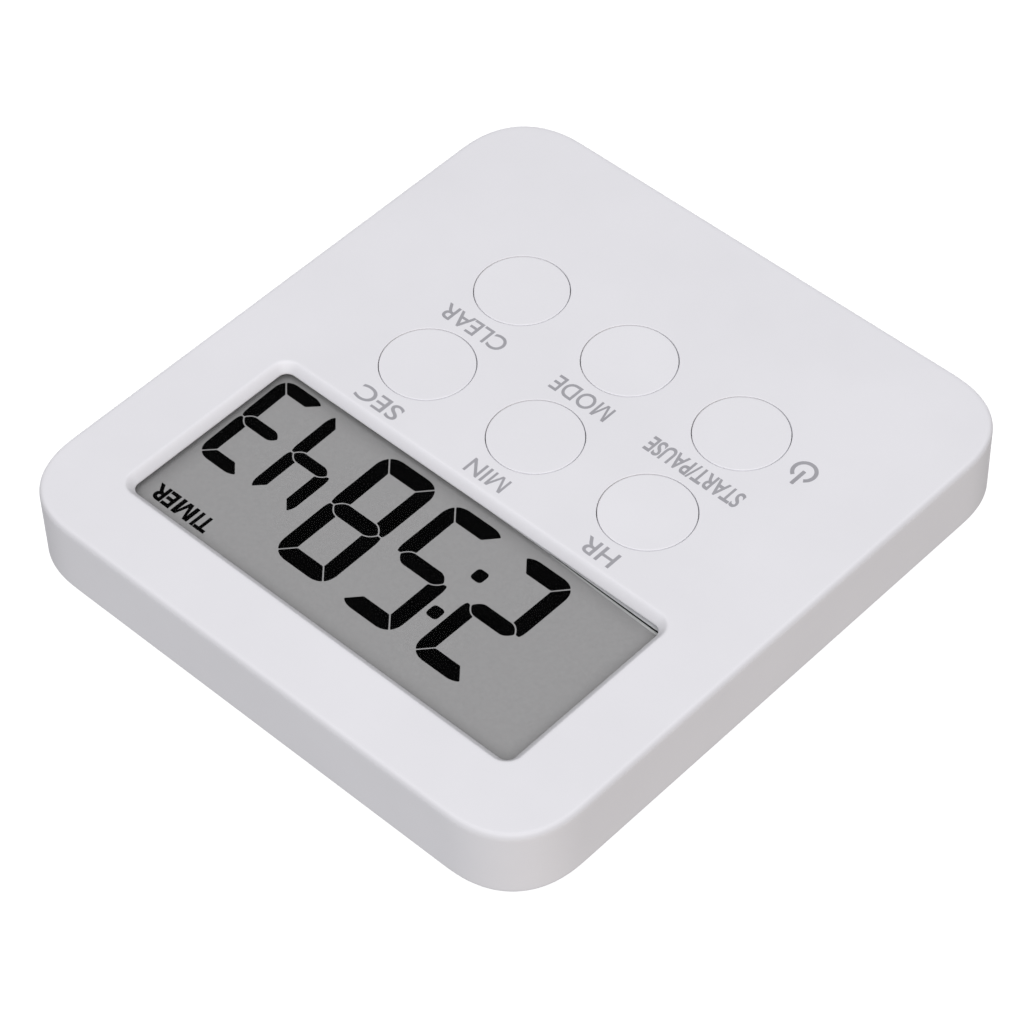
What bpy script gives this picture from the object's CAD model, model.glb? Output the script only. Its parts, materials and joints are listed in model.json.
import json
import math

import bmesh
import bpy
from mathutils import Matrix, Vector

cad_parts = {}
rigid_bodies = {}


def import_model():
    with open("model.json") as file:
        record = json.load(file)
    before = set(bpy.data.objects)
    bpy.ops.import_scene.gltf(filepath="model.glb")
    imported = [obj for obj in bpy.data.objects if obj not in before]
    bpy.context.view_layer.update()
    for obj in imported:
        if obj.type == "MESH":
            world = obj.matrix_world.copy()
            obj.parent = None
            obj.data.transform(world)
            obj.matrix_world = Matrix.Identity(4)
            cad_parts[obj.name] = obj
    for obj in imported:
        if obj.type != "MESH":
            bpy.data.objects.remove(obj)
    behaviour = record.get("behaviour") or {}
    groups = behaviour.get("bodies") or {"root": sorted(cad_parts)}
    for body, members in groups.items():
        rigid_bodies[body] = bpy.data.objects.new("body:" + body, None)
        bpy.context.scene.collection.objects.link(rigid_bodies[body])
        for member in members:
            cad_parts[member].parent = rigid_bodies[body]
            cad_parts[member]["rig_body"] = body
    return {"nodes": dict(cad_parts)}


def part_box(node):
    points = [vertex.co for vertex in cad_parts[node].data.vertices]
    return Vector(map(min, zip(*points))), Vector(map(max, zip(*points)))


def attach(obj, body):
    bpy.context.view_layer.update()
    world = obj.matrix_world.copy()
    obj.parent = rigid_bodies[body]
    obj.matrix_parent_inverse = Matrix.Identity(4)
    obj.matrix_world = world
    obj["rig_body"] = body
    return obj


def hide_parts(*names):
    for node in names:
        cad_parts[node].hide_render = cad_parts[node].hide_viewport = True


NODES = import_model()["nodes"]
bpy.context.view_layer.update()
MM = 0.001


# ------------------------------------------------------------------ sizes, in mm
def box_mm(node):
    """The low and high corners of a CAD node."""
    return [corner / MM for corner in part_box(node)]


def middle(low, high):
    """The X and Y of the middle of a box."""
    return (low.x + high.x) / 2, (low.y + high.y) / 2


# front shell
shell_low, shell_high = box_mm("front_shell")
WIDTH, HEIGHT = shell_high.x - shell_low.x, shell_high.y - shell_low.y
FACE, RIM = shell_high.z, shell_low.z
FACE_INSIDE = FACE - 1.6            # underside of the face wall
WALL = 1.5
CASE_CORNER, CASE_POWER = 10.4, 2.4  # corner size and superellipse exponent
EDGE_RADIUS, EDGE_FLAT = 0.65, 0.35  # rounded edge of the face, and the flat strip inside it
RIM_RADIUS = 0.3

# display opening and its lens
lens_low, lens_high = box_mm("display_window")
LENS_TOP, LENS_BOTTOM = lens_high.z, lens_low.z
LENS_LAP = 1.5                      # how far the lens reaches past the opening
LENS_CORNER, LENS_BEVEL = 2.0, 0.12
SEAT_GAP = 0.2                      # from the lens to the side of its seat
SEAT_TOP = LENS_TOP + 0.05
WINDOW_X, WINDOW_Y = middle(lens_low, lens_high)
WINDOW_WIDTH = lens_high.x - lens_low.x - 2 * LENS_LAP
WINDOW_HEIGHT = lens_high.y - lens_low.y - 2 * LENS_LAP
WINDOW_CORNER = 1.2
FLARE, FLARE_DEPTH = 0.9, 0.97      # the opening widens by FLARE towards the face

# keys
KEYS = ("hours", "minutes", "seconds", "start_pause", "mode", "clear")
KEY_CENTRE = {key: tuple(c / MM for c in middle(*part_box(f"button_{key}"))) for key in KEYS}
CAP_RADIUS, CAP_EDGE = 5.48, 0.09
HOLE_RADIUS = CAP_RADIUS + 0.095
HOLE_EDGE = 0.07
FLANGE_RADIUS = CAP_RADIUS + 0.62
PAD_RADIUS, PAD_BOTTOM = 1.6, 11.2  # round pad under each cap

# marks on the face and on the display, as (bottom, top) heights
LCD_TOP = box_mm("lcd_polariser")[1].z
INK_SPAN = (FACE + 0.002, FACE + 0.012)
SEGMENT_SPAN = (LCD_TOP + 0.005, LCD_TOP + 0.02)


# ------------------------------------------------------------------ outlines
def rounded(width, height, radius, centre=(0.0, 0.0), steps=12, power=2.0):
    """Anticlockwise rounded rectangle, always with 4 * (steps + 1) points."""
    points = []
    for quarter, (side_x, side_y) in enumerate(((1, 1), (-1, 1), (-1, -1), (1, -1))):
        corner_x = centre[0] + side_x * (width / 2 - radius)
        corner_y = centre[1] + side_y * (height / 2 - radius)
        for i in range(steps + 1):
            angle = math.pi / 2 * (quarter + i / steps)
            cos, sin = math.cos(angle), math.sin(angle)
            points.append((
                corner_x + radius * math.copysign(abs(cos) ** (2 / power), cos),
                corner_y + radius * math.copysign(abs(sin) ** (2 / power), sin),
            ))
    return points


def case_outline(inset):
    return rounded(WIDTH - 2 * inset, HEIGHT - 2 * inset, CASE_CORNER - inset,
                   steps=28, power=CASE_POWER)


def window_outline(grow, radius=None):
    return rounded(WINDOW_WIDTH + 2 * grow, WINDOW_HEIGHT + 2 * grow,
                   WINDOW_CORNER + grow if radius is None else radius,
                   centre=(WINDOW_X, WINDOW_Y), steps=10)


def circle(x, y, radius, count=96):
    turns = [math.tau * i / count for i in range(count)]
    return [(x + radius * math.cos(turn), y + radius * math.sin(turn)) for turn in turns]


def rectangle(x0, x1, y0, y1):
    return [(x0, y0), (x1, y0), (x1, y1), (x0, y1)]


def arc(across, up, radius, start, end, steps):
    """Points on an arc round (across, up), angles in degrees."""
    angles = [math.radians(start + (end - start) * i / steps) for i in range(steps + 1)]
    return [(across + radius * math.cos(a), up + radius * math.sin(a)) for a in angles]


def bezier(start, control, end, steps=6):
    """Points along a quadratic curve."""
    points = []
    for i in range(steps + 1):
        t = i / steps
        points.append(tuple((1 - t) ** 2 * p + 2 * t * (1 - t) * c + t * t * q
                            for p, c, q in zip(start, control, end)))
    return points


def neighbours(points):
    """Each point of a closed outline as a vector, with the one before and the one after."""
    for i, point in enumerate(points):
        yield Vector(point), Vector(points[i - 1]), Vector(points[(i + 1) % len(points)])


def round_corners(points, radius, steps=3):
    """Rounds every corner of a convex polygon."""
    rounded_points = []
    for point, before, after in neighbours(points):
        back, ahead = before - point, after - point
        back_length, ahead_length = back.length, ahead.length
        back, ahead = back / back_length, ahead / ahead_length
        half = math.acos(max(-1, min(1, back.dot(ahead)))) / 2
        reach = min(radius / math.tan(half), back_length * 0.49, ahead_length * 0.49)
        for i in range(steps + 1):
            t = i / steps
            rounded_points.append(tuple((point + back * reach) * (1 - t) ** 2
                                        + point * 2 * t * (1 - t)
                                        + (point + ahead * reach) * t ** 2))
    return rounded_points


def shrink(points, gap):
    """Moves an outline in by gap along the mean normal of the two sides at each point."""
    moved = []
    for point, before, after in neighbours(points):
        incoming, outgoing = (point - before).normalized(), (after - point).normalized()
        normal_in = Vector((-incoming.y, incoming.x))
        normal_out = Vector((-outgoing.y, outgoing.x))
        mean = (normal_in + normal_out) / max(0.55, 1 + normal_in.dot(normal_out))
        moved.append(tuple(point + mean * gap))
    return moved


def soften(points, reach):
    """Rounds only the sharp corners of an outline."""
    softened = []
    for point, before, after in neighbours(points):
        back, ahead = before - point, after - point
        if back.normalized().dot(ahead.normalized()) > -0.72:
            start = point + back.normalized() * min(reach, back.length * 0.45)
            end = point + ahead.normalized() * min(reach, ahead.length * 0.45)
            softened += bezier(tuple(start), tuple(point), tuple(end), 4)
        else:
            softened.append(tuple(point))
    return softened


# ------------------------------------------------------------------ mesh helpers
def ring(mesh, points, z):
    return [mesh.verts.new((x * MM, y * MM, z * MM)) for x, y in points]


def skirt(mesh, rings):
    """Quads between neighbouring rings of the same length."""
    for first, second in zip(rings, rings[1:]):
        count = len(first)
        for i in range(count):
            j = (i + 1) % count
            mesh.faces.new((first[i], first[j], second[j], second[i]))


def loft(mesh, stations):
    """A skirt through (outline, z) stations. Gives back its rings."""
    rings = [ring(mesh, points, z) for points, z in stations]
    skirt(mesh, rings)
    return rings


def flat_fill(mesh, outlines, z):
    """A flat face with holes: the first outline is the outside. It is filled as a 2D curve."""
    curve = bpy.data.curves.new("fill", "CURVE")
    curve.dimensions = "2D"
    curve.fill_mode = "BOTH"
    for points in outlines:
        spline = curve.splines.new("POLY")
        spline.points.add(len(points) - 1)
        for point, (x, y) in zip(spline.points, points):
            point.co = (x * MM, y * MM, 0.0, 1.0)
        spline.use_cyclic_u = True
    guide = bpy.data.objects.new("fill", curve)
    bpy.context.scene.collection.objects.link(guide)
    filled = evaluated_mesh(guide)
    start = len(mesh.verts)
    mesh.from_mesh(filled)
    mesh.verts.ensure_lookup_table()
    for vert in mesh.verts[start:]:
        vert.co.z = z * MM
    bpy.data.objects.remove(guide, do_unlink=True)
    bpy.data.meshes.remove(filled)
    bpy.data.curves.remove(curve)


def evaluated_mesh(obj):
    """A new mesh of an object as its curve or modifiers make it."""
    bpy.context.view_layer.update()
    depsgraph = bpy.context.evaluated_depsgraph_get()
    return bpy.data.meshes.new_from_object(obj.evaluated_get(depsgraph))


def shade(data, angle):
    data.shade_smooth()
    data.set_sharp_from_angle(angle=math.radians(angle))


def to_object(mesh, name, angle=35.0, weld=True):
    """Turns a bmesh into an object; edges sharper than angle, in degrees, stay sharp."""
    if weld:
        bmesh.ops.remove_doubles(mesh, verts=mesh.verts, dist=2e-7)
    bmesh.ops.recalc_face_normals(mesh, faces=mesh.faces)
    data = bpy.data.meshes.new(name)
    mesh.to_mesh(data)
    mesh.free()
    obj = bpy.data.objects.new(name, data)
    bpy.context.scene.collection.objects.link(obj)
    shade(data, angle)
    return obj


def turned(name, profile, x, y, count=96):
    """A turned solid from (radius, z) pairs, top to bottom, with both ends on its axis."""
    mesh = bmesh.new()
    rings = []
    for radius, z in profile:
        points = circle(x, y, radius, count) if radius > 0 else [(x, y)]
        rings.append(ring(mesh, points, z))
    for upper, lower in zip(rings, rings[1:]):
        if len(upper) == 1:
            for i in range(count):
                mesh.faces.new((upper[0], lower[i], lower[(i + 1) % count]))
        elif len(lower) == 1:
            for i in range(count):
                mesh.faces.new((upper[i], upper[(i + 1) % count], lower[0]))
        else:
            skirt(mesh, [upper, lower])
    return to_object(mesh, name)


def use(obj, material):
    """Puts one material on all of an object's slots, without touching its mesh."""
    if not obj.material_slots:
        obj.data.materials.append(material)
    for slot in obj.material_slots:
        slot.material = material


def place(obj, material, body="case", stands_for=None):
    """Gives a piece its material, body and slot, and the CAD node it replaces."""
    use(obj, material)
    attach(obj, body)
    if stands_for:
        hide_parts(stands_for)


def plates(name, outlines, span, material, slot):
    """Closed plates from separate outlines, such as printed marks, between two heights."""
    bottom, top = span
    mesh = bmesh.new()
    for points in outlines:
        flat_fill(mesh, [points], top)
        flat_fill(mesh, [points], bottom)
        loft(mesh, [(points, top), (points, bottom)])
    place(to_object(mesh, name, angle=30.0), material)


def refine(node, bevel, material):
    """A finer copy of a CAD node: coplanar facets merged, edges rounded, smooth shaded."""
    merge_angle, bevel_angle = math.radians(0.6), math.radians(32.0)
    source = NODES[node]
    mesh = bmesh.new()
    mesh.from_mesh(source.data)
    bmesh.ops.remove_doubles(mesh, verts=mesh.verts, dist=2e-7)
    bmesh.ops.dissolve_limit(mesh, angle_limit=merge_angle, verts=mesh.verts, edges=mesh.edges)
    edges = [edge for edge in mesh.edges
             if len(edge.link_faces) == 2 and edge.calc_face_angle(0.0) > bevel_angle]
    bmesh.ops.bevel(mesh, geom=edges, offset=bevel * MM, offset_type="OFFSET", segments=2,
                    profile=0.5, affect="EDGES", clamp_overlap=True, miter_outer="ARC")
    obj = to_object(mesh, node + "_fine", angle=50.0, weld=False)
    even = obj.modifiers.new("even", "WEIGHTED_NORMAL")
    even.mode = "FACE_AREA"
    even.weight = 100
    even.keep_sharp = False
    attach(obj, source["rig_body"])
    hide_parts(node)
    use(obj, material)


# ------------------------------------------------------------------ shader helpers
def srgb(*levels):
    """Linear colour from 0-255 display levels."""
    shares = [level / 255 for level in levels]
    return tuple(v / 12.92 if v <= 0.04045 else ((v + 0.055) / 1.055) ** 2.4 for v in shares)


def scaled(colour, factor):
    return tuple(min(1.0, channel * factor) for channel in colour)


def fill_inputs(tree, node, inputs):
    """Sets or links inputs, given as {socket name or number: value or output socket}."""
    for socket, value in inputs.items():
        if isinstance(value, bpy.types.NodeSocket):
            tree.links.new(value, node.inputs[socket])
        else:
            node.inputs[socket].default_value = value


def add_node(tree, kind, inputs, **settings):
    node = tree.nodes.new("ShaderNode" + kind)
    for name, value in settings.items():
        setattr(node, name, value)
    fill_inputs(tree, node, inputs)
    return node


def empty_tree(block):
    """The node tree of a material or world, cleared."""
    block.use_nodes = True
    block.node_tree.nodes.clear()
    return block.node_tree


class Shader:
    """A small builder for a node material around one Principled BSDF."""

    def __init__(self, name):
        self.material = bpy.data.materials.new(name)
        self.material.use_nodes = True
        self.tree = self.material.node_tree
        self.coords = self.new("TexCoord", {}).outputs["Object"]

    def new(self, kind, inputs, **settings):
        return add_node(self.tree, kind, inputs, **settings)

    def noise(self, scale, detail=3.0, rough=0.5, coords=None):
        return self.new("TexNoise", {"Scale": scale, "Detail": detail, "Roughness": rough,
                                     "Vector": coords or self.coords}).outputs["Fac"]

    def mapped(self, **transform):
        """Object coordinates, moved or scaled."""
        return self.new("Mapping", {**transform, "Vector": self.coords}).outputs["Vector"]

    def ramp(self, factor, stops):
        """Colours from (position, colour) stops."""
        node = self.new("ValToRGB", {})
        elements = node.color_ramp.elements
        while len(elements) < len(stops):
            elements.new(0.5)
        for element, (position, colour) in zip(elements, stops):
            element.position = position
            element.color = (*colour, 1.0)
        self.tree.links.new(factor, node.inputs["Fac"])
        return node.outputs["Color"]

    def range(self, value, to, over=(0.3, 0.7)):
        """Maps the span over to the span to."""
        return self.new("MapRange", {"From Min": over[0], "From Max": over[1],
                                     "To Min": to[0], "To Max": to[1],
                                     "Value": value}).outputs["Result"]

    def math(self, operation, *values, clamp=False):
        return self.new("Math", dict(enumerate(values)),
                        operation=operation, use_clamp=clamp).outputs["Value"]

    def vector(self, operation, inputs):
        return self.new("VectorMath", inputs, operation=operation).outputs

    def mix(self, factor, first, second):
        """Blends two colours, each a tuple or an output."""
        first, second = ((*c, 1.0) if isinstance(c, tuple) else c for c in (first, second))
        return self.new("Mix", {"Factor": factor, 6: first, 7: second},
                        data_type="RGBA").outputs[2]

    def axes(self):
        return self.new("SeparateXYZ", {0: self.coords}).outputs

    def normal(self):
        return self.new("NewGeometry", {}).outputs["Normal"]

    def distance(self, coordinate, centre):
        """How far a coordinate lies from a centre given in mm."""
        return self.math("ABSOLUTE", self.math("SUBTRACT", coordinate, centre * MM))

    def bump(self, height, strength, distance):
        """A bump normal; distance in mm."""
        return self.new("Bump", {"Strength": strength, "Distance": distance * MM,
                                 "Height": height}).outputs["Normal"]

    def finish(self, inputs):
        """Fills the inputs of the Principled BSDF and gives back the material."""
        fill_inputs(self.tree, self.tree.nodes["Principled BSDF"], inputs)
        return self.material


# ------------------------------------------------------------------ materials
def white_plastic(name, base, rough, seed=0.0, grain=4500.0, strength=0.18, tones=None):
    """Moulded plastic: faint cloudy tone, small changes in gloss, fine grain.

    The seed moves the texture. tones adds more colour work on top of the body.
    """
    shader = Shader(name)
    coords = shader.mapped(Location=(seed, seed * 0.7, seed * 1.3))
    cloud = shader.noise(scale=55.0, detail=3.0, rough=0.55, coords=coords)
    speck = shader.noise(scale=1400.0, detail=2.0, coords=coords)
    cloudy = shader.ramp(cloud, [(0.35, scaled(base, 0.985)), (0.65, scaled(base, 1.012))])
    speckle = shader.range(speck, to=(0.0, 0.06), over=(0.55, 0.8))
    body = shader.mix(speckle, cloudy, scaled(base, 0.93))
    if tones:
        body = tones(shader, body, base)
    gloss = shader.noise(scale=240.0, detail=2.0, coords=coords)
    roughness = shader.range(gloss, to=(rough - 0.04, rough + 0.05))
    height = shader.noise(scale=grain, detail=2.0, rough=0.6, coords=coords)
    return shader.finish({
        "Base Color": body,
        "Roughness": roughness,
        "Normal": shader.bump(height, strength=strength, distance=0.012),
        "Specular IOR Level": 0.38,
    })


def shell_tones(shader, body, base):
    """Shade deep in the display opening, a duller face edge and a warmer -X wall."""
    # dust and shade gather at the foot of the display opening
    opening_reach = 1.5             # mm past the opening that still counts as inside
    foot_shade, foot_strength = 0.80, 1.0
    x, y, z = shader.axes()
    half_x = WINDOW_WIDTH / 2 + opening_reach
    half_y = WINDOW_HEIGHT / 2 + opening_reach
    inside = shader.math(
        "MULTIPLY",
        shader.math("LESS_THAN", shader.distance(x, WINDOW_X), half_x * MM),
        shader.math("LESS_THAN", shader.distance(y, WINDOW_Y), half_y * MM))
    depth = shader.range(z, to=(1.0, 0.0),
                         over=((FACE - FLARE_DEPTH) * MM, (FACE - 0.02) * MM))
    shaded = shader.math("MULTIPLY", inside, shader.math("MULTIPLY", depth, foot_strength))
    body = shader.mix(shaded, body, scaled(base, foot_shade))

    # the rounded edge of the face is duller where it turns to the -X and +Y sides
    # (share of the way down the edge, brightness)
    edge_tones = [(0.0, 0.995), (0.08, 0.93), (0.28, 0.85), (0.55, 0.865), (1.0, 1.01)]
    dull_side = (-0.98, 1.02, 0.0)
    facing_gain, facing_min, facing_max = 2.2, -0.6, 1.0
    z = shader.axes()[2]
    down = shader.range(z, to=(0.0, 1.0), over=(FACE * MM, (FACE - EDGE_RADIUS) * MM))
    tone = shader.ramp(down, [(position, (level,) * 3) for position, level in edge_tones])
    drop = shader.math("SUBTRACT", 1.0, tone)
    turn = shader.vector("DOT_PRODUCT", {0: shader.normal(), 1: dull_side})["Value"]
    facing = shader.new("Clamp", {"Value": shader.math("MULTIPLY", turn, facing_gain),
                                  "Min": facing_min, "Max": facing_max}).outputs[0]
    outside = shader.math("SUBTRACT", 1.0, inside)
    dulling = shader.math("MULTIPLY", outside, shader.math("MULTIPLY", drop, facing))
    kept = shader.math("SUBTRACT", 1.0, dulling)
    body = shader.vector("SCALE", {0: body, "Scale": kept})["Vector"]

    # the -X wall, on the reader's left, is slightly warmer
    warm_tint = (1.035, 1.005, 0.975)
    normal = shader.new("SeparateXYZ", {0: shader.normal()}).outputs
    left = shader.math(
        "MULTIPLY",
        shader.math("MULTIPLY", normal[0], -1.0, clamp=True),
        shader.math("SUBTRACT", 1.0, shader.math("ABSOLUTE", normal[2]), clamp=True))
    tint = shader.mix(left, (1.0, 1.0, 1.0), warm_tint)
    return shader.vector("MULTIPLY", {0: body, 1: tint})["Vector"]


def metal(name, base, rough, brush=(1.0, 1.0, 1.0)):
    """Bare metal; brush stretches its fine streaks."""
    shader = Shader(name)
    streaks = shader.noise(scale=2500.0, rough=0.6, coords=shader.mapped(Scale=brush))
    cloud = shader.noise(scale=300.0, detail=2.0)
    return shader.finish({
        "Base Color": shader.ramp(cloud, [(0.3, scaled(base, 0.9)), (0.7, base)]),
        "Roughness": shader.range(streaks, to=(rough - 0.07, rough + 0.1)),
        "Normal": shader.bump(streaks, strength=0.1, distance=0.006),
        "Metallic": 1.0,
    })


def plain(name, base, rough, specular=0.5, grain=3000.0, strength=0.12, vary=0.08):
    """One colour that varies by the share vary, with a fine grain."""
    shader = Shader(name)
    cloud = shader.noise(scale=220.0)
    colour = shader.ramp(cloud, [(0.3, scaled(base, 1 - vary)), (0.7, scaled(base, 1 + vary))])
    gloss = shader.noise(scale=500.0, detail=2.0)
    roughness = shader.range(gloss, to=(rough - 0.05, rough + 0.05))
    height = shader.noise(scale=grain, detail=2.0)
    return shader.finish({
        "Base Color": colour,
        "Roughness": roughness,
        "Normal": shader.bump(height, strength=strength, distance=0.01),
        "Specular IOR Level": specular,
    })


def clear_window():
    """Thin clear window: light passes straight, with a faint reflection at low angles."""
    material = bpy.data.materials.new("clear_window")
    tree = empty_tree(material)
    clear = add_node(tree, "BsdfTransparent", {"Color": (0.985, 0.99, 0.99, 1)})
    noise = add_node(tree, "TexNoise", {"Scale": 900.0})
    rough = add_node(tree, "MapRange", {"Value": noise.outputs["Fac"],
                                        "To Min": 0.05, "To Max": 0.12})
    gloss = add_node(tree, "BsdfGlossy", {"Color": (1, 1, 1, 1),
                                          "Roughness": rough.outputs["Result"]})
    fresnel = add_node(tree, "Fresnel", {"IOR": 1.11})
    # only the side facing out reflects, so the far side is never a mirror from inside
    geometry = add_node(tree, "NewGeometry", {})
    front = add_node(tree, "Math", {0: 1.0, 1: geometry.outputs["Backfacing"]},
                     operation="SUBTRACT")
    share = add_node(tree, "Math", {0: front.outputs[0], 1: fresnel.outputs["Fac"]},
                     operation="MULTIPLY")
    surface = add_node(tree, "MixShader", {"Fac": share.outputs[0],
                                           1: clear.outputs["BSDF"],
                                           2: gloss.outputs["BSDF"]})
    add_node(tree, "OutputMaterial", {"Surface": surface.outputs["Shader"]})
    return material


def lcd_ground():
    """Grey ground of a reflective display: a faint fleck and a slightly darker rim."""
    margin, rim_width = 0.6, 2.6    # mm past the opening where the rim starts; its width
    base, edge = srgb(154, 152, 153), srgb(148, 146, 147)
    shader = Shader("lcd_ground")
    x, y, z = shader.axes()
    from_side = shader.math("SUBTRACT", (WINDOW_WIDTH / 2 + margin) * MM,
                            shader.distance(x, WINDOW_X))
    from_end = shader.math("SUBTRACT", (WINDOW_HEIGHT / 2 + margin) * MM,
                           shader.distance(y, WINDOW_Y))
    nearest = shader.math("MULTIPLY", shader.math("MINIMUM", from_side, from_end), 1000.0)
    rim = shader.range(nearest, to=(0.0, 1.0), over=(0.0, rim_width))
    fleck = shader.ramp(shader.noise(scale=2600.0, detail=2.0),
                        [(0.3, scaled(base, 0.97)), (0.7, scaled(base, 1.03))])
    return shader.finish({
        "Base Color": shader.mix(rim, edge, fleck),
        "Roughness": shader.range(shader.noise(scale=400.0), to=(0.5, 0.62)),
        "Specular IOR Level": 0.12,
    })


def board_green():
    """Solder mask with tracks and tinned pads."""
    pad_colour, pad_size = (0.62, 0.62, 0.6), 0.16
    shader = Shader("board_green")
    tracks = shader.new("TexBrick", {
        "Scale": 260.0,
        "Mortar Size": 0.03,
        "Color1": (0.012, 0.12, 0.045, 1),
        "Color2": (0.016, 0.15, 0.055, 1),
        "Mortar": (0.03, 0.25, 0.10, 1),
        "Vector": shader.coords,
    }).outputs
    cells = shader.new("TexVoronoi", {"Scale": 210.0, "Vector": shader.coords}).outputs
    pad = shader.math("LESS_THAN", cells["Distance"], pad_size)
    return shader.finish({
        "Base Color": shader.mix(pad, tracks["Color"], pad_colour),
        "Roughness": shader.range(shader.noise(scale=800.0), to=(0.28, 0.4)),
        "Normal": shader.bump(tracks["Fac"], strength=0.25, distance=0.02),
    })


def zebra_bands():
    """Pink and black bands across the zebra strip."""
    per_metre = 1000 / 0.4          # one pair of bands every 0.4 mm along X
    pink, black = (0.55, 0.16, 0.22), (0.02, 0.02, 0.02)
    shader = Shader("zebra_bands")
    wave = shader.math("FRACT", shader.math("MULTIPLY", shader.axes()[0], per_metre))
    return shader.finish({
        "Base Color": shader.mix(shader.math("GREATER_THAN", wave, 0.5), pink, black),
        "Roughness": shader.range(shader.noise(scale=900.0), to=(0.6, 0.75)),
    })


def cell_jacket():
    """AAA cell: plain pale grey shrink sleeve, bare steel ends."""
    bare_high, bare_low = 1.25, 0.35    # mm of bare steel at the +X and -X ends
    sleeve_dark, sleeve_light = (0.40, 0.42, 0.43), (0.45, 0.47, 0.48)
    steel = (0.66, 0.66, 0.67)
    shader = Shader("cell_jacket")
    x = shader.axes()[0]
    low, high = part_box("battery")
    bare = shader.math("MAXIMUM",
                       shader.math("GREATER_THAN", x, high.x - bare_high * MM),
                       shader.math("LESS_THAN", x, low.x + bare_low * MM))
    jacket = shader.mix(shader.noise(scale=260.0), sleeve_dark, sleeve_light)
    return shader.finish({
        "Base Color": shader.mix(bare, jacket, steel),
        "Metallic": bare,
        "Roughness": shader.range(shader.noise(scale=900.0), to=(0.22, 0.34)),
    })


WHITE_SHELL = white_plastic("shell_white", (0.745, 0.737, 0.775), rough=0.50,
                            tones=shell_tones)
WHITE_CAP = white_plastic("cap_white", (0.755, 0.747, 0.785), rough=0.46, seed=3.1)
WHITE_BACK = white_plastic("back_white", (0.74, 0.737, 0.765), rough=0.55, seed=7.7,
                           grain=3200.0, strength=0.26)
WHITE_INNER = white_plastic("inner_white", (0.70, 0.70, 0.71), rough=0.6, seed=5.0)
INK = plain("legend_ink", srgb(158, 157, 163), rough=0.6, specular=0.2, vary=0.05)
STEEL = metal("plain_steel", (0.62, 0.62, 0.63), rough=0.27)
NICKEL = metal("nickel_plate", (0.66, 0.65, 0.63), rough=0.2, brush=(6.0, 0.4, 1.0))
BRASS = metal("rolled_brass", (0.78, 0.56, 0.24), rough=0.3, brush=(0.5, 5.0, 1.0))
BLACK_MOULDING = plain("black_moulding", (0.028, 0.028, 0.03), rough=0.45)
EPOXY = plain("black_epoxy", (0.014, 0.014, 0.015), rough=0.22, grain=600.0)
PIEZO = plain("piezo_ceramic", (0.72, 0.70, 0.62), rough=0.55)
RED_SLEEVE = plain("red_sleeve", (0.52, 0.018, 0.02), rough=0.38)
BLACK_SLEEVE = plain("black_sleeve", (0.015, 0.015, 0.016), rough=0.38)
CLEAR = clear_window()
LCD_GREY = lcd_ground()
SEGMENT_BLACK = plain("lcd_segment", (0.0012, 0.0012, 0.0013), rough=0.8, specular=0.0,
                      strength=0.02, vary=0.3)
HOLDER_WHITE = plain("holder_white", srgb(226, 225, 229), rough=0.55, specular=0.3, vary=0.03)
GLASS_EDGE = plain("ground_glass_edge", srgb(186, 186, 186), rough=0.35, specular=0.3,
                   vary=0.05)


# ------------------------------------------------------------------ front shell
def shell_wall(mesh):
    """From the face round the edge, down the side, round the rim and up the inside."""
    # (inset from the case outline, z)
    section = [(EDGE_RADIUS + EDGE_FLAT, FACE)]
    section += arc(EDGE_RADIUS, FACE - EDGE_RADIUS, EDGE_RADIUS, 90, 180, 9)
    section += [(0.0, FACE - EDGE_RADIUS - 0.4), (0.0, RIM + RIM_RADIUS + 0.3)]
    section += arc(RIM_RADIUS, RIM + RIM_RADIUS, RIM_RADIUS, 180, 270, 5)
    section += [(WALL - 0.12, RIM), (WALL, RIM + 0.12), (WALL, FACE_INSIDE)]
    loft(mesh, [(case_outline(inset), z) for inset, z in section])


def shell_window(mesh):
    """Soft lip, sloping flare, short land, then the seat for the lens.

    Gives back the outlines it cuts in the top and in the underside of the face.
    """
    lip = 0.35
    # (growth from the opening, z)
    section = [
        (FLARE + 0.5, FACE), (FLARE + lip * 0.7, FACE), (FLARE + lip * 0.25, FACE - 0.02),
        (FLARE - 0.05, FACE - 0.11), (FLARE * 0.66, FACE - 0.41), (FLARE * 0.33, FACE - 0.72),
        (0.10, FACE - FLARE_DEPTH + 0.04), (0.02, FACE - FLARE_DEPTH - 0.04),
        (0.0, FACE - FLARE_DEPTH - 0.10), (0.0, SEAT_TOP),
    ]
    seat = window_outline(LENS_LAP + SEAT_GAP, LENS_CORNER + SEAT_GAP)
    stations = [(window_outline(grow), z) for grow, z in section]
    loft(mesh, stations + [(seat, SEAT_TOP), (seat, FACE_INSIDE)])
    return stations[0][0], seat


def shell_key_hole(mesh, x, y):
    """A round hole with a softened edge; gives back its top and underside outlines."""
    section = [(HOLE_RADIUS + HOLE_EDGE + 0.12, FACE)]
    section += arc(HOLE_RADIUS + HOLE_EDGE, FACE - HOLE_EDGE, HOLE_EDGE, 90, 180, 4)
    section += [(HOLE_RADIUS, FACE_INSIDE)]
    stations = [(circle(x, y, radius), z) for radius, z in section]
    loft(mesh, stations)
    return stations[0][0], stations[-1][0]


def shell_post(mesh, x, y, radius, foot, bore_top):
    """A screw post under the face, bored from its foot; gives back its outline."""
    bore, chamfer = 0.9, 0.15
    section = [(radius, FACE_INSIDE), (radius, foot + chamfer), (radius - chamfer, foot),
               (bore + 0.05, foot), (bore, foot + 0.1), (bore, bore_top)]
    stations = [(circle(x, y, size, 32), z) for size, z in section]
    mesh.faces.new(loft(mesh, stations)[-1])
    return stations[0][0]


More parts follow.
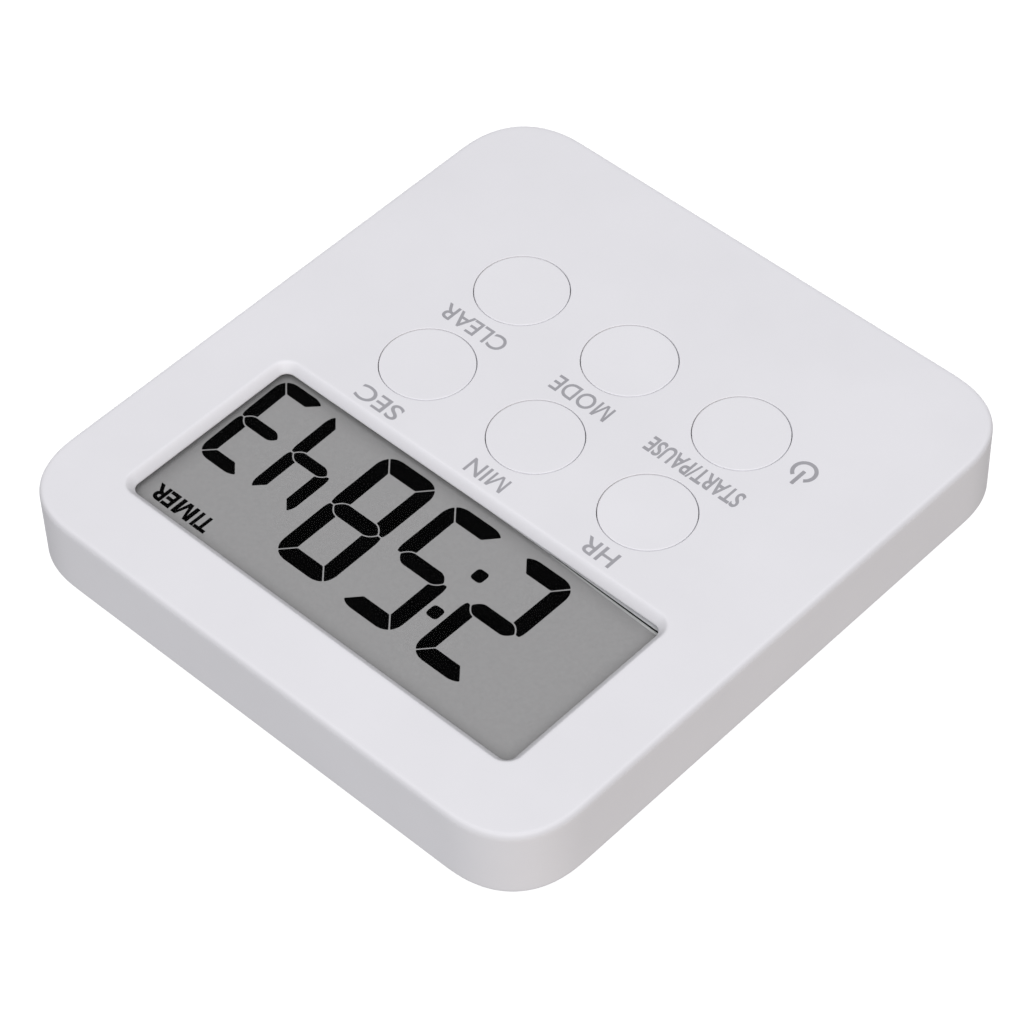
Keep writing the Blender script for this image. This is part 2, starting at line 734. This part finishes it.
def front_shell():
    mesh = bmesh.new()
    shell_wall(mesh)
    holes = [shell_window(mesh)]
    holes += [shell_key_hole(mesh, *KEY_CENTRE[key]) for key in KEYS]
    # x, y, radius, foot, top of bore
    posts = [(side * 32.2, end * 35.2, 2.3, 6.35, 11.4) for side in (-1, 1) for end in (-1, 1)]
    posts += [(side * 28.3, y, 1.9, 7.7, 11.9) for side in (-1, 1) for y in (-1.5, -16.0)]
    post_outlines = [shell_post(mesh, *post) for post in posts]
    top_holes = [top for top, under in holes]
    under_holes = [under for top, under in holes] + post_outlines
    flat_fill(mesh, [case_outline(EDGE_RADIUS + EDGE_FLAT)] + top_holes, FACE)
    flat_fill(mesh, [case_outline(WALL)] + under_holes, FACE_INSIDE)
    shell = to_object(mesh, "front_shell_fine", angle=38.0)
    place(shell, WHITE_SHELL, stands_for="front_shell")


front_shell()


# ------------------------------------------------------------------ caps
def key_cap(key):
    """A round cap flush with the face, with a flange under it and a pad below."""
    flange_top, flange_bottom = FACE_INSIDE - 0.1, FACE_INSIDE - 0.9
    bevel = 0.1
    profile = [(0, FACE), (CAP_RADIUS - CAP_EDGE - 0.15, FACE)]
    profile += arc(CAP_RADIUS - CAP_EDGE, FACE - CAP_EDGE, CAP_EDGE, 90, 0, 4)
    profile += [
        (CAP_RADIUS, flange_top), (FLANGE_RADIUS - bevel, flange_top),
        (FLANGE_RADIUS, flange_top - bevel), (FLANGE_RADIUS, flange_bottom + bevel),
        (FLANGE_RADIUS - bevel, flange_bottom), (PAD_RADIUS, flange_bottom),
        (PAD_RADIUS, PAD_BOTTOM + 0.05), (PAD_RADIUS - 0.05, PAD_BOTTOM), (0, PAD_BOTTOM),
    ]
    cap = turned(f"cap_{key}", profile, *KEY_CENTRE[key])
    place(cap, WHITE_CAP, body=f"key_{key}", stands_for=f"button_{key}")


for key in KEYS:
    key_cap(key)


# ------------------------------------------------------------------ display
def display_lens():
    """The clear plate under the opening, with bevelled edges."""
    mesh = bmesh.new()
    # (inset, z)
    section = ((LENS_BEVEL, LENS_TOP), (0.0, LENS_TOP - LENS_BEVEL),
               (0.0, LENS_BOTTOM + LENS_BEVEL), (LENS_BEVEL, LENS_BOTTOM))
    rings = loft(mesh, [(window_outline(LENS_LAP - inset, LENS_CORNER - inset), z)
                        for inset, z in section])
    mesh.faces.new(rings[0])
    mesh.faces.new(rings[-1])
    lens = to_object(mesh, "window_fine", angle=30.0)
    place(lens, CLEAR, stands_for="display_window")


def segment_outlines(width, height, side, bar):
    """The seven segments of a width x height figure, by their usual letters.

    side and bar are the thicknesses of the upright and the level segments. In the inner
    functions in_x and in_y are 1 or -1: the way in from an edge, or off the middle line.
    """
    mid = height / 2
    half_bar = bar * 0.462
    tip = 0.36 * side               # how far in the pointed ends of the middle bar lie
    corner_reach = 1.02 * side
    mitre = 0.29 * corner_reach     # where the mitre meets the rounded corner

    def corner(x, y, in_x, in_y, to_side):
        """From the mitre point of corner (x, y) to its vertical or horizontal side."""
        start = (x + in_x * mitre, y + in_y * mitre)
        if to_side:
            control = (x + in_x * mitre * 0.12, y + in_y * corner_reach * 0.52)
            return bezier(start, control, (x, y + in_y * corner_reach), 5)
        control = (x + in_x * corner_reach * 0.52, y + in_y * mitre * 0.12)
        return bezier(start, control, (x + in_x * corner_reach, y), 5)

    def waist(x, in_x, in_y):
        """End of the middle bar: from the shoulder on the inner side to the tip."""
        return bezier((x + in_x * side * 1.02, mid + in_y * half_bar),
                      (x + in_x * side * 0.62, mid + in_y * half_bar * 0.95),
                      (x + in_x * tip, mid))

    def flank(x, in_x, in_y):
        """Outer side of an upright where it runs into the waist."""
        return [(x + in_x * tip, mid)] + bezier((x + in_x * 0.30, mid),
                                                (x + in_x * 0.03, mid + in_y * 0.10),
                                                (x, mid + in_y * corner_reach * 0.62))

    def upright(x, in_x, half):
        """Corner, outer side, waist tip, end of the middle bar, then the inner corner."""
        end = height if half > 0 else 0.0
        return (corner(x, end, in_x, -half, True)
                + flank(x, in_x, half)[::-1]
                + waist(x, in_x, half)[::-1][1:]
                + [(x + in_x * side, end - half * bar)])

    def level(y, in_y):
        """The top or bottom bar: its outer side, then its two inner corners."""
        return (corner(0.0, y, 1, in_y, False)
                + corner(width, y, -1, in_y, False)[::-1]
                + [(width - side, y + in_y * bar), (side, y + in_y * bar)])

    middle_bar = (waist(0.0, 1, 1)[::-1] + waist(width, -1, 1)
                  + waist(width, -1, -1)[::-1][1:] + waist(0.0, 1, -1)[:-1])
    return {"a": level(height, -1), "d": level(0.0, 1), "g": middle_bar,
            "f": upright(0.0, 1, 1), "e": upright(0.0, 1, -1),
            "b": upright(width, -1, 1), "c": upright(width, -1, -1)}


def without_repeats(points, least=0.02):
    """Drops points closer than least to the one before them."""
    kept = []
    for point in points:
        if not kept or math.dist(point, kept[-1]) > least:
            kept.append(point)
    if math.dist(kept[0], kept[-1]) < least:
        kept.pop()
    return kept


def digit(lit, width, height, side, bar, foot, head, levels):
    """The lit segments of a figure, fitted between its foot, middle and head lines."""
    gap, corner_radius = 0.17, 0.16
    bottom, mid, top = levels
    segments = segment_outlines(width, height, side, bar)
    outlines = []
    for name in lit:
        points = segments[name]
        area = sum(p[0] * q[1] - q[0] * p[1] for p, q in zip(points, points[1:] + points[:1]))
        if area < 0:
            points = points[::-1]
        fitted = []
        for x, y in soften(shrink(without_repeats(points), gap / 2), corner_radius):
            across, up = x / width, y / height
            left = foot[0] + (head[0] - foot[0]) * up
            right = foot[1] + (head[1] - foot[1]) * up
            if up < 0.5:
                level = bottom + (mid - bottom) * up * 2
            else:
                level = mid + (top - mid) * (up * 2 - 1)
            fitted.append((left + (right - left) * across, level))
        outlines.append(fitted)
    return outlines


# lit segments, width, height, side and bar thickness,
# (left, right) at the foot, (left, right) at the head, (foot, middle, head) heights
FIGURES = [
    ("abged", 7.85, 18.3, 2.1, 2.3, (-17.05, -9.15), (-16.95, -9.12), (8.66, 18.0, 27.1)),
    ("afgcd", 8.05, 18.5, 2.1, 2.3, (-6.6, 1.55), (-6.5, 1.58), (8.42, 17.86, 27.05)),
    ("abcdefg", 8.2, 18.8, 2.15, 2.32, (3.57, 11.88), (3.47, 11.66), (8.12, 17.7, 27.0)),
    ("fgbc", 6.5, 14.5, 1.78, 1.82, (13.85, 20.5), (13.76, 20.2), (7.75, 15.28, 22.4)),
    ("abgcd", 6.5, 14.5, 1.82, 1.86, (21.75, 28.5), (21.6, 28.15), (7.72, 15.13, 22.4)),
]
COLON_CENTRES = ((-7.8, 21.35), (-7.84, 14.5))


def display_figures():
    """The time 25:8 with a small 43, in black segments."""
    for number, figure in enumerate(FIGURES, start=1):
        plates(f"segments_{number}", digit(*figure), SEGMENT_SPAN, SEGMENT_BLACK, "lcd_ground")
    dots = [round_corners(rectangle(x - 0.8, x + 0.8, y - 0.84, y + 0.84), 0.55, 5)
            for x, y in COLON_CENTRES]
    plates("segments_colon", dots, SEGMENT_SPAN, SEGMENT_BLACK, "lcd_ground")


def display_holder():
    """What shows along the lower edge of the opening, a little out of square."""
    # outlines as x, y points
    lip = [(-29.4, 5.4), (14.0, 5.4),
           (14.0, 6.75), (0.0, 6.95), (-12.4, 7.17), (-20.0, 7.36), (-26.5, 7.50), (-29.4, 7.50)]
    seam = [(-28.2, 7.50), (-26.5, 7.52), (-20.0, 7.38), (-11.4, 7.16),
            (-11.4, 7.20), (-20.0, 7.49), (-26.5, 7.69), (-28.2, 7.66)]
    edge = [(-28.4, 7.67), (-26.5, 7.70), (-20.0, 7.50), (-11.4, 7.21),
            (-11.4, 7.30), (-20.0, 7.70), (-26.5, 7.96), (-28.4, 7.95)]
    # name, outline, heights above the display, material, slot
    for name, outline, bottom, top, material, slot in (
            ("holder_lip", lip, 0.004, 0.10, HOLDER_WHITE, "frame_plastic"),
            ("holder_seam", seam, 0.103, 0.11, SEGMENT_BLACK, "lcd_ground"),
            ("glass_edge", edge, 0.004, 0.015, GLASS_EDGE, "lcd_glass")):
        plates(name, [outline], (LCD_TOP + bottom, LCD_TOP + top), material, slot)


display_lens()
use(NODES["lcd_polariser"], LCD_GREY)
display_figures()
display_holder()


# ------------------------------------------------------------------ lettering
def lettering(name, text, bounds, weight, span, material, slot):
    """Plain capitals fitted to (x0, x1, y0, y1), as a thin closed plate."""
    x0, x1, y0, y1 = bounds
    bottom, top = span
    curve = bpy.data.curves.new(name, "FONT")
    curve.body = text
    curve.size = 1.0
    curve.resolution_u = 5
    curve.fill_mode = "BOTH"
    curve.offset = weight
    guide = bpy.data.objects.new(name + "_text", curve)
    bpy.context.scene.collection.objects.link(guide)
    flat = evaluated_mesh(guide)
    bpy.data.objects.remove(guide, do_unlink=True)
    mesh = bmesh.new()
    mesh.from_mesh(flat)
    bmesh.ops.remove_doubles(mesh, verts=mesh.verts, dist=1e-5)
    across = [vert.co.x for vert in mesh.verts]
    up = [vert.co.y for vert in mesh.verts]
    left, foot = min(across), min(up)
    scale_x = (x1 - x0) / (max(across) - left)
    scale_y = (y1 - y0) / (max(up) - foot)
    for vert in mesh.verts:
        vert.co = Vector(((x0 + (vert.co.x - left) * scale_x) * MM,
                          (y0 + (vert.co.y - foot) * scale_y) * MM, top * MM))
    bmesh.ops.recalc_face_normals(mesh, faces=mesh.faces)
    extruded = bmesh.ops.extrude_face_region(mesh, geom=list(mesh.faces))
    moved = [part for part in extruded["geom"] if isinstance(part, bmesh.types.BMVert)]
    bmesh.ops.translate(mesh, verts=moved, vec=(0, 0, (bottom - top) * MM))
    place(to_object(mesh, name, angle=30.0, weld=False), material)


def letter_m(x0, x1, y0, y1, stroke):
    """The outline of a capital M."""
    height, centre = y1 - y0, (x0 + x1) / 2
    shoulder = stroke * 1.28
    foot = stroke * 0.52
    notch = y0 + height * 0.74
    return [(x0, y0), (x0 + stroke, y0), (x0 + stroke, notch), (centre - foot, y0),
            (centre + foot, y0), (x1 - stroke, notch), (x1 - stroke, y0), (x1, y0),
            (x1, y1), (x1 - shoulder, y1), (centre, y0 + stroke * 1.15),
            (x0 + shoulder, y1), (x0, y1)]


# name, text, (x0, x1, y0, y1), weight; MINUTES and MODE get their M from letter_m
LEGENDS = [
    ("legend_hours", "HR", (-18.62, -14.08, 3.70, 5.98), 0.010),
    ("legend_minutes", "IN", (0.02, 2.76, 3.75, 5.98), 0.010),
    ("legend_seconds", "SEC", (13.35, 19.55, 3.78, 6.08), 0.010),
    ("legend_start_pause", "START/PAUSE", (-23.0, -9.72, -11.82, -9.42), 0.022),
    ("legend_mode", "ODE", (-1.62, 4.25, -11.72, -9.33), 0.010),
    ("legend_clear", "CLEAR", (11.9, 21.25, -11.65, -9.3), 0.010),
]
LEGEND_STROKE = 0.30
TIMER_FOOT, TIMER_HEAD = 28.04, 30.27   # the word TIMER on the display
TIMER_WEIGHT, TIMER_STROKE = 0.034, 0.54


def key_legends():
    ink = (INK_SPAN, INK, "white_shell")
    for legend in LEGENDS:
        lettering(*legend, *ink)
    plates("legend_minutes_m", [letter_m(-2.68, -0.42, 3.78, 5.95, LEGEND_STROKE)], *ink)
    plates("legend_mode_m", [letter_m(-4.0, -1.98, -11.68, -9.38, LEGEND_STROKE)], *ink)


def display_word():
    lines = (TIMER_FOOT, TIMER_HEAD)
    black = (SEGMENT_SPAN, SEGMENT_BLACK, "lcd_ground")
    lettering("lcd_word_ti", "TI", (18.66, 20.82, *lines), TIMER_WEIGHT, *black)
    plates("lcd_word_m", [letter_m(21.24, 23.76, *lines, TIMER_STROKE)], *black)
    lettering("lcd_word_er", "ER", (24.14, 27.36, *lines), TIMER_WEIGHT, *black)


def power_mark():
    """A ring broken at its +Y side, and a bar through the break."""
    x, y = -25.25, -18.62
    radius, half_stroke = 1.33, 0.46 / 2
    half_break = 34                 # degrees
    start, end = 90 + half_break, 450 - half_break
    broken_ring = arc(x, y, radius + half_stroke, start, end, 40)
    broken_ring += arc(x, y, radius - half_stroke, start, end, 40)[::-1]
    bar = rectangle(x - half_stroke, x + half_stroke, y - 0.08, y + 2.28)
    plates("legend_power", [broken_ring, round_corners(bar, 0.12)],
           INK_SPAN, INK, "white_shell")


key_legends()
display_word()
power_mark()

# ------------------------------------------------------------------ back, door and stand
for node, bevel in (("rear_cover", 0.12), ("battery_door", 0.1), ("stand", 0.18)):
    refine(node, bevel, WHITE_BACK)


# ------------------------------------------------------------------ magnets and screws
def magnet(node):
    """A disc with rounded edges."""
    edge = 0.25
    low, high = box_mm(node)
    radius = (high.x - low.x) / 2
    profile = [(0, high.z), (radius - 0.3, high.z)]
    profile += arc(radius - edge, high.z - edge, edge, 90, 0, 4)
    profile += arc(radius - edge, low.z + edge, edge, 0, -90, 4)
    profile += [(radius - 0.6, low.z), (0, low.z)]
    disc = turned(node + "_fine", profile, *middle(low, high), count=72)
    place(disc, NICKEL, stands_for=node)


def screw_body(name, x, y, head_z, shank_z, tip_z, head_radius):
    """Pan-head screw, head down, with a thread of stacked ridges."""
    root, crest, pitch = 0.6, 0.8, 0.5
    head_edge = 0.22
    profile = [(0, tip_z), (0.35, tip_z - 0.15)]
    z = tip_z - 0.6
    while z > shank_z + 0.5:
        profile += [(root, z), (crest, z - 0.18), (root, z - 0.36)]
        z -= pitch
    profile += [(0.62, shank_z + 0.05), (0.7, shank_z), (head_radius, shank_z)]
    profile += arc(head_radius - head_edge, head_z + 0.25, head_edge, 0, -80, 4)
    profile += [(head_radius * 0.5, head_z + 0.005), (0, head_z)]
    return turned(name, profile, x, y, count=40)


def cut_cross(body, name, x, y, head_z):
    """Cuts a cross recess into a screw head; each screw is turned by its own angle."""
    length, width, depth = 2.0, 0.42, 0.7
    turn = 0.4
    mesh = bmesh.new()
    for angle in (0.0, math.pi / 2):
        matrix = (Matrix.Translation((x * MM, y * MM, (head_z + 0.1) * MM))
                  @ Matrix.Rotation(angle + turn + x, 4, "Z")
                  @ Matrix.Diagonal((length * MM, width * MM, depth * MM, 1.0)))
        bmesh.ops.create_cube(mesh, size=1.0, matrix=matrix)
    tool = to_object(mesh, name + "_cross", angle=30.0, weld=False)
    cut = body.modifiers.new("cross", "BOOLEAN")
    cut.operation = "DIFFERENCE"
    cut.object = tool
    cut.solver = "EXACT"
    cut.use_self = True
    data = evaluated_mesh(body)
    body.modifiers.clear()
    uncut = body.data
    body.data = data
    bpy.data.meshes.remove(uncut)
    bpy.data.objects.remove(tool, do_unlink=True)
    shade(data, 35)


def screw(node, head_height, head_radius):
    low, high = box_mm(node)
    x, y = middle(low, high)
    name = node + "_fine"
    body = screw_body(name, x, y, low.z, low.z + head_height, high.z, head_radius)
    cut_cross(body, name, x, y, low.z)
    place(body, STEEL, stands_for=node)


for node in ("magnet_left", "magnet_right"):
    magnet(node)

# kind, head height, head radius
for kind, head_height, head_radius in (("case_screw", 0.7, 1.9), ("pcb_screw", 1.0, 1.85)):
    for number in range(1, 5):
        screw(f"{kind}_{number}", head_height, head_radius)

# ------------------------------------------------------------------ pieces of CAD shape
KEPT = {
    "lcd_front_glass": CLEAR, "lcd_rear_glass": CLEAR,
    "lcd_reflector": LCD_GREY, "lcd_frame": WHITE_INNER,
    "zebra_strip": zebra_bands(), "main_pcb": board_green(),
    "chip_blob": EPOXY, "crystal": STEEL,
    "piezo_brass": BRASS, "piezo_ceramic": PIEZO,
    "battery": cell_jacket(), "battery_spring": STEEL,
    "battery_contact_positive": STEEL, "battery_contact_negative": STEEL,
    "battery_wire_red": RED_SLEEVE, "battery_wire_black": BLACK_SLEEVE,
    "buzzer_wire_red": RED_SLEEVE, "buzzer_wire_black": BLACK_SLEEVE,
}
for key in KEYS:
    KEPT[f"switch_{key}"] = BLACK_MOULDING
    KEPT[f"plunger_{key}"] = BLACK_MOULDING
for node, material in KEPT.items():
    use(NODES[node], material)


# ------------------------------------------------------------------ stage
def floor_white():
    """A glowing matt floor from above, clear from below."""
    material = bpy.data.materials.new("floor_white")
    tree = empty_tree(material)
    geometry = add_node(tree, "NewGeometry", {})
    diffuse = add_node(tree, "BsdfDiffuse", {"Color": (0.30, 0.30, 0.305, 1)})
    glow = add_node(tree, "Emission", {"Strength": 0.87})
    clear = add_node(tree, "BsdfTransparent", {})
    lit = add_node(tree, "AddShader", {0: diffuse.outputs[0], 1: glow.outputs[0]})
    surface = add_node(tree, "MixShader", {"Fac": geometry.outputs["Backfacing"],
                                           1: lit.outputs[0], 2: clear.outputs[0]})
    add_node(tree, "OutputMaterial", {"Surface": surface.outputs[0]})
    return material


def add_floor():
    """A large plane just under the timer, which only the camera sees."""
    bpy.ops.mesh.primitive_plane_add(size=6.0, location=(0, 0, -0.00012))
    floor = bpy.context.object
    floor.name = "floor"
    floor.data.materials.append(floor_white())
    floor.visible_diffuse = False
    floor.visible_glossy = False
    floor.visible_transmission = False
    floor.visible_shadow = False


def add_world():
    """White surroundings, dimmer as light than as seen by the camera."""
    white = (1.0, 1.0, 1.0, 1)
    world = bpy.data.worlds.new("studio")
    bpy.context.scene.world = world
    tree = empty_tree(world)
    path = add_node(tree, "LightPath", {})
    ambient = add_node(tree, "Background", {"Color": white, "Strength": 0.45})
    backdrop = add_node(tree, "Background", {"Color": white, "Strength": 1.05})
    surface = add_node(tree, "MixShader", {"Fac": path.outputs["Is Camera Ray"],
                                           1: ambient.outputs[0], 2: backdrop.outputs[0]})
    add_node(tree, "OutputWorld", {"Surface": surface.outputs[0]})


def softbox(name, azimuth, elevation, distance, size, irradiance):
    """A big round light aimed at the origin.

    Azimuth runs in degrees from -Y towards +X; distance and size are in metres;
    irradiance is what a surface facing the light gets at the object.
    """
    data = bpy.data.lights.new(name, "AREA")
    data.shape = "DISK"
    data.size = size
    data.energy = irradiance * math.pi * (distance ** 2 + (size / 2) ** 2)
    light = bpy.data.objects.new(name, data)
    bpy.context.scene.collection.objects.link(light)
    turn, rise = math.radians(azimuth), math.radians(elevation)
    towards = Vector((math.sin(turn) * math.cos(rise), -math.cos(turn) * math.cos(rise),
                      math.sin(rise)))
    light.location = towards * distance
    light.rotation_euler = towards.to_track_quat("Z", "Y").to_euler()


def add_camera():
    """Looks down at the face from its -X, +Y corner."""
    data = bpy.data.cameras.new("camera")
    camera = bpy.data.objects.new("camera", data)
    bpy.context.scene.collection.objects.link(camera)
    data.sensor_width = 36.0
    data.lens = 134.337
    data.clip_start = 0.01
    data.clip_end = 20.0
    data.shift_x = -0.00048828125
    data.shift_y = 0.00009765625
    right = Vector((-0.7311050, -0.6819770, -0.0198208))
    up = Vector((0.5023702, -0.5577623, 0.6607007))
    back = Vector((-0.4616379, 0.4730842, 0.7503877))
    rotation = Matrix((right, up, back)).transposed()
    position = Vector((-196.151, 202.154, 309.701 + FACE)) * MM
    camera.matrix_world = Matrix.Translation(position) @ rotation.to_4x4()
    bpy.context.scene.camera = camera


add_floor()
add_world()
softbox("key", azimuth=224.0, elevation=56.0, distance=1.6, size=1.6,
        irradiance=0.70 * math.pi)
softbox("fill", azimuth=44.0, elevation=-28.0, distance=1.6, size=1.8,
        irradiance=0.40 * math.pi)
add_camera()
bpy.context.scene.view_settings.view_transform = "Standard"
bpy.context.scene.view_settings.look = "None"
